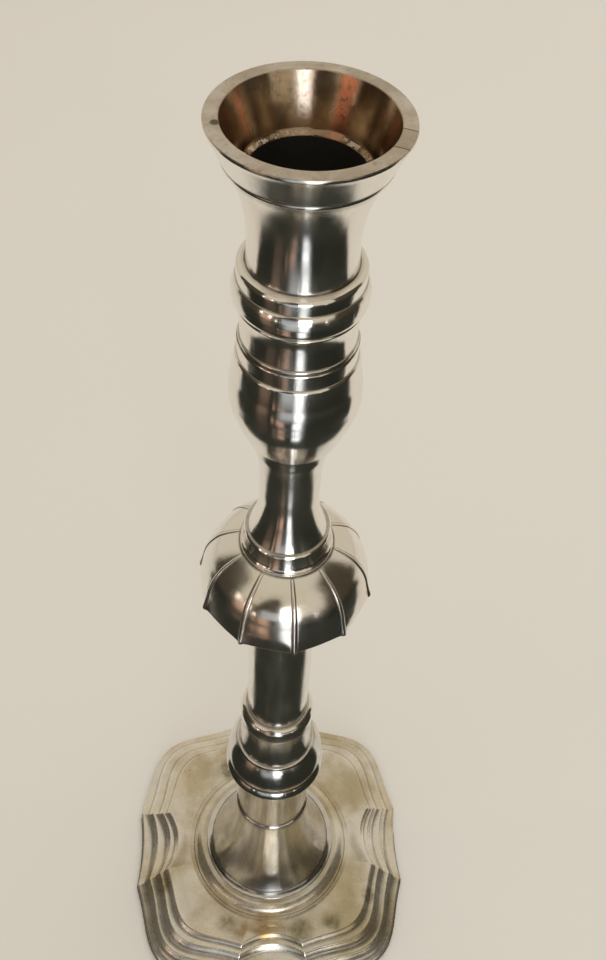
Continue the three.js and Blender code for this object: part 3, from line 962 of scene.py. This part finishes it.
turned_piece(
    "pillar_collar",
    [(11.2, COVE_TOP), (11.3, 119.3), (9.5, 121.9, 0.5)],
    stem_silver,
    [
        (PILLAR_RADIUS + 0.03, 121.9),
        (PILLAR_RADIUS + 0.03, 121.2),
        (PILLAR_RADIUS + FIT, 121),
        (PILLAR_RADIUS + FIT, PILLAR_SEAT),
        (ROD_HOLE, PILLAR_SEAT),
        (ROD_HOLE, COVE_TOP),
    ],
)
turned_piece(
    "pillar",
    [(PILLAR_RADIUS, PILLAR_SEAT), (PILLAR_RADIUS, PILLAR_TOP)],
    stem_silver,
    [(PILLAR_BORE, PILLAR_TOP), (PILLAR_BORE, PILLAR_SEAT)],
)
make_umbrella(umbrella_silver)
turned_piece(
    "shoulder_collar",
    [
        (11.2, SHOULDER_TOP),
        (11.3, 206.5, 0.05),
        (10.7, 207.6, -0.12),
        (10.5, 211.4),
        (10.1, SHOULDER_COLLAR_TOP),
    ],
    upper_silver,
)
turned_piece(
    "neck",
    [
        (9.6, SHOULDER_COLLAR_TOP),
        (7, 226, -0.9),
        (7.1, 233, -0.05),
        (8.1, 240.3, -0.15),
        (8.5, 244.3, -0.05),
        (9.5, NECK_TOP, -0.1),
    ],
    upper_silver,
)
turned_piece(
    "urn_knop",
    [
        (9.9, NECK_TOP),
        (12.9, 252.8, 0.1),
        (13.8, 258.6, 0.3),
        (13.3, 264, 0.2),
        (12.6, 268.8, 0.05),
        (12.2, URN_TOP),
    ],
    upper_silver,
)
turned_piece(
    "drum_ring",
    [(12.2, URN_TOP), (12.3, 272.8), (12.05, 273.2), (12, 273.8), (11.7, DRUM_RING_TOP)],
    upper_silver,
)
turned_piece(
    "drum", [(11.7, DRUM_RING_TOP), (11.7, 278, -0.05), (12.55, 282.1, -0.2), (12.3, DRUM_TOP)], upper_silver
)
turned_piece(
    "torus_ring",
    [(12.3, DRUM_TOP), (13.2, 284.5, 0.3), (12.6, 287.7, 0.25), (12.3, TORUS_TOP)],
    upper_silver,
)
make_cup(cup_silver)

turned_piece("base_washer", [(12, 9), (12, 10.5)], steel)
turned_piece("cup_washer", [(8, SOCKET_FLOOR), (8, SOCKET_FLOOR + 1.5)], steel)
make_nut("base_nut", 4, 5, steel)
make_nut("cup_nut", SOCKET_FLOOR + 1.5, 3, steel)
make_rod("tie_rod", 3, SOCKET_FLOOR + 5.5, steel)

felt_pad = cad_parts["felt_pad"]
felt_pad.data.materials.clear()
felt_pad.data.materials.append(felt_material("green_felt"))

# ---- studio -----------------------------------------------------------------------------------
FLOOR_DROP = 0.0004


def flat_mesh(name, corners):
    mesh = bpy.data.meshes.new(name)
    mesh.from_pydata([Vector(corner) for corner in corners], [], [tuple(range(len(corners)))])
    mesh.update()
    made = bpy.data.objects.new(name, mesh)
    bpy.context.scene.collection.objects.link(made)
    return made


def floor_material():
    material, tree = new_material("studio_floor")
    where = node(tree, "TexCoord").outputs["Object"]
    tone = cloudy(tree, where, 3, 3, 0.5)
    colour = mixed(tree, tone, (0.71, 0.70, 0.685), (0.75, 0.74, 0.725))
    finish_material(tree, {"Base Color": colour, "Roughness": 0.9})
    return material


def card_material(name, colour, streaks=(), near=0.0, far=0.1):
    """A dark card, with soft streaks that glow as painted light: (azimuth, half width, brightness, colour).
    """
    material, tree = new_material(name)
    where = node(tree, "TexCoord").outputs["Object"]
    side = along(tree, where, tuple(RIGHT))
    ahead = along(tree, where, tuple(FRONT))
    azimuth = maths(tree, "DEGREES", maths(tree, "ARCTAN2", side, ahead))
    square = maths(tree, "ADD", maths(tree, "POWER", side, 2.0), maths(tree, "POWER", ahead, 2.0))
    away = maths(tree, "SQRT", square)
    reach = between(tree, away, near, far)
    glow = (0.0, 0.0, 0.0)
    for place, half, brightness, tint in streaks:
        share = maths(tree, "MULTIPLY", line_at(tree, azimuth, place, half), reach)
        glow = mixed(tree, share, glow, tuple(part * brightness for part in tint))
    inputs = {"Base Color": (*colour, 1), "Roughness": 1.0, "Specular IOR Level": 0.0}
    if streaks:
        inputs["Emission Color"] = glow
        inputs["Emission Strength"] = 1.0
    finish_material(tree, inputs)
    return material


def only_reflected(card):
    card.visible_camera = False
    card.visible_diffuse = False
    card.visible_transmission = False
    card.visible_volume_scatter = False
    card.visible_shadow = False


def spot_on_stage(azimuth, elevation, distance):
    """A place round the object. Azimuth 0 is towards the camera, positive to its right."""
    azimuth = math.radians(azimuth)
    elevation = math.radians(elevation)
    level = FRONT * math.cos(azimuth) + RIGHT * math.sin(azimuth)
    return level * (distance * math.cos(elevation)) + Vector((0, 0, distance * math.sin(elevation)))


def soft_light(name, azimuth, elevation, distance, width, height, power, colour):
    data = bpy.data.lights.new(name, "AREA")
    data.shape = "RECTANGLE"
    data.size = width
    data.size_y = height
    data.energy = power
    data.color = colour
    light = bpy.data.objects.new(name, data)
    light.location = spot_on_stage(azimuth, elevation, distance)
    aim = Vector((0, 0, 0.15)) - light.location
    light.rotation_euler = aim.to_track_quat("-Z", "Y").to_euler()
    bpy.context.scene.collection.objects.link(light)
    return light


floor = flat_mesh("floor", [(x, y, -FLOOR_DROP) for x, y in ((-3, -3), (3, -3), (3, 3), (-3, 3))])
floor.data.materials.append(floor_material())

# Seen only in reflections: a dark card on the floor in front, a dark tray over the foot of the object and a
# dark screen round the camera, lower where the pale wall of the room shows over it. They put painted dark
# reflections onto the silver.
WINDOW_TINT = (0.93, 0.97, 1.0)
WARM_TINT = (1.0, 0.62, 0.42)
# Painted reflections of the window and warm lamps: streaks that glow on the floor card, though it is no lamp.
floor_streaks = (
    (-10, 18, 0.42, WINDOW_TINT), (-50, 13, 0.14, WARM_TINT), (8, 10, 1.7, WINDOW_TINT),
)
CARD_NEAR = 0.02
CARD_FAR = 1.9
CARD_HALF_TURN = 100
CARD_LIT = (0.27, 0.52)  # the streaks come up between these distances
LIT_THROUGHOUT = (0.0, 0.01)


def ring_part(near, far, half_turn, height):
    """Corners of a flat ring sector round the object, even to both sides of the front."""
    rim = [(near, turn) for turn in range(-half_turn, half_turn + 1, 5)]
    rim += [(far, turn) for turn in range(half_turn, -half_turn - 1, -5)]
    corners = []
    for away, turn in rim:
        place = FRONT * (away * math.cos(math.radians(turn))) + RIGHT * (away * math.sin(math.radians(turn)))
        corners.append((place.x, place.y, height))
    return corners


front_card = flat_mesh("floor_card", ring_part(CARD_NEAR, CARD_FAR, CARD_HALF_TURN, -FLOOR_DROP / 2))
front_card.data.materials.append(card_material("dark_card", (0.030, 0.034, 0.030), floor_streaks, *CARD_LIT))
only_reflected(front_card)

TRAY_HEIGHT = 0.165
TRAY_NEAR = 0.096
TRAY_FAR = 0.180
TRAY_HALF_TURN = 100
# Painted reflections of the window and warm lamps, glowing on the tray, though it is no lamp.
tray_streaks = (
    (-14, 14, 0.09, WINDOW_TINT), (-50, 14, 0.05, WARM_TINT), (8, 12, 0.6, WINDOW_TINT),
)
tray = flat_mesh("dark_tray", ring_part(TRAY_NEAR, TRAY_FAR, TRAY_HALF_TURN, TRAY_HEIGHT))
tray.data.materials.append(card_material("dark_tray", (0.020, 0.023, 0.020), tray_streaks, *LIT_THROUGHOUT))
only_reflected(tray)

# A card low in front with streaks that glow as painted light, though it is no lamp; the steep lower panels of
# the umbrella reflect it round the middle rib as a painted highlight.
GLOW_AWAY = 0.112
GLOW_LOW = 0.105
GLOW_HIGH = 0.192
GLOW_LEFT = -0.075
GLOW_RIGHT = 0.035
glow_streaks = ((6, 10, 1.5, WINDOW_TINT), (-20, 9, 0.5, WARM_TINT), (-33, 5, 0.35, WARM_TINT))
glow_corners = []
for aside, height in (
    (GLOW_LEFT, GLOW_LOW), (GLOW_RIGHT, GLOW_LOW), (GLOW_RIGHT, GLOW_HIGH), (GLOW_LEFT, GLOW_HIGH),
):
    place = FRONT * GLOW_AWAY + RIGHT * aside
    glow_corners.append((place.x, place.y, height))
glow_card = flat_mesh("glow_card", glow_corners)
glow_look = card_material("glow_card", (0.03, 0.033, 0.035), glow_streaks, *LIT_THROUGHOUT)
glow_card.data.materials.append(glow_look)
only_reflected(glow_card)

SCREEN_RADIUS = 1.6
SCREEN_TOP = (  # azimuth, elevation of the top, degrees
    (-110, 56), (-68, 54), (-58, 22), (-32, 22), (-25, 40), (-20, 52), (-6, 54), (-2, 42), (4, 10), (52, 10),
    (62, 54), (110, 56),
)


def screen_top(azimuth):
    for (start, low), (end, high) in zip(SCREEN_TOP, SCREEN_TOP[1:]):
        if azimuth <= end:
            return low + (high - low) * (azimuth - start) / (end - start)
    return SCREEN_TOP[-1][1]


screen_points = []
screen_faces = []
SCREEN_STEPS = 110
SCREEN_HALF_TURN = 110
for step in range(SCREEN_STEPS + 1):
    azimuth = -SCREEN_HALF_TURN + 2 * SCREEN_HALF_TURN * step / SCREEN_STEPS
    low = spot_on_stage(azimuth, 0, SCREEN_RADIUS)
    height = SCREEN_RADIUS * math.tan(math.radians(screen_top(azimuth)))
    screen_points += [(low.x, low.y, -FLOOR_DROP / 2), (low.x, low.y, height)]
    if step:
        at = 2 * step
        screen_faces.append((at - 2, at, at + 1, at - 1))
screen_mesh = bpy.data.meshes.new("front_screen")
screen_mesh.from_pydata(screen_points, [], screen_faces)
screen = bpy.data.objects.new("front_screen", screen_mesh)
bpy.context.scene.collection.objects.link(screen)
screen_mesh.materials.append(card_material("dark_screen", (0.070, 0.060, 0.046)))
only_reflected(screen)

soft_light("window", 9, 14, 1.35, 0.42, 0.72, 4.2, (0.96, 0.98, 1.0))
soft_light("blue_patch", -13, 6, 1.36, 0.60, 0.66, 0.55, (0.82, 0.90, 1.0))
soft_light("warm_wall", -50, 10, 1.35, 0.40, 0.50, 0.28, (1.0, 0.62, 0.45))
soft_light("lamp_a", -58, 19, 1.3, 0.07, 0.22, 0.16, (1.0, 0.86, 0.76))
soft_light("lamp_b", -43, 15, 1.3, 0.09, 0.16, 0.17, (1.0, 0.86, 0.76))
soft_light("lamp_c", -33, 7, 1.3, 0.06, 0.12, 0.08, (1.0, 0.88, 0.80))
soft_light("lamp_d", 40, 8, 1.3, 0.05, 0.18, 0.06, (1.0, 0.94, 0.88))
top_soft = soft_light("top_soft", 150, 68, 1.9, 1.7, 1.7, 14.0, (1.0, 0.97, 0.93))
top_soft.visible_glossy = False

world = bpy.data.worlds.new("studio")
world.use_nodes = True
world.node_tree.nodes["Background"].inputs["Color"].default_value = (0.64, 0.575, 0.46, 1)
world.node_tree.nodes["Background"].inputs["Strength"].default_value = 0.92
bpy.context.scene.world = world
bpy.context.scene.view_settings.view_transform = "Standard"
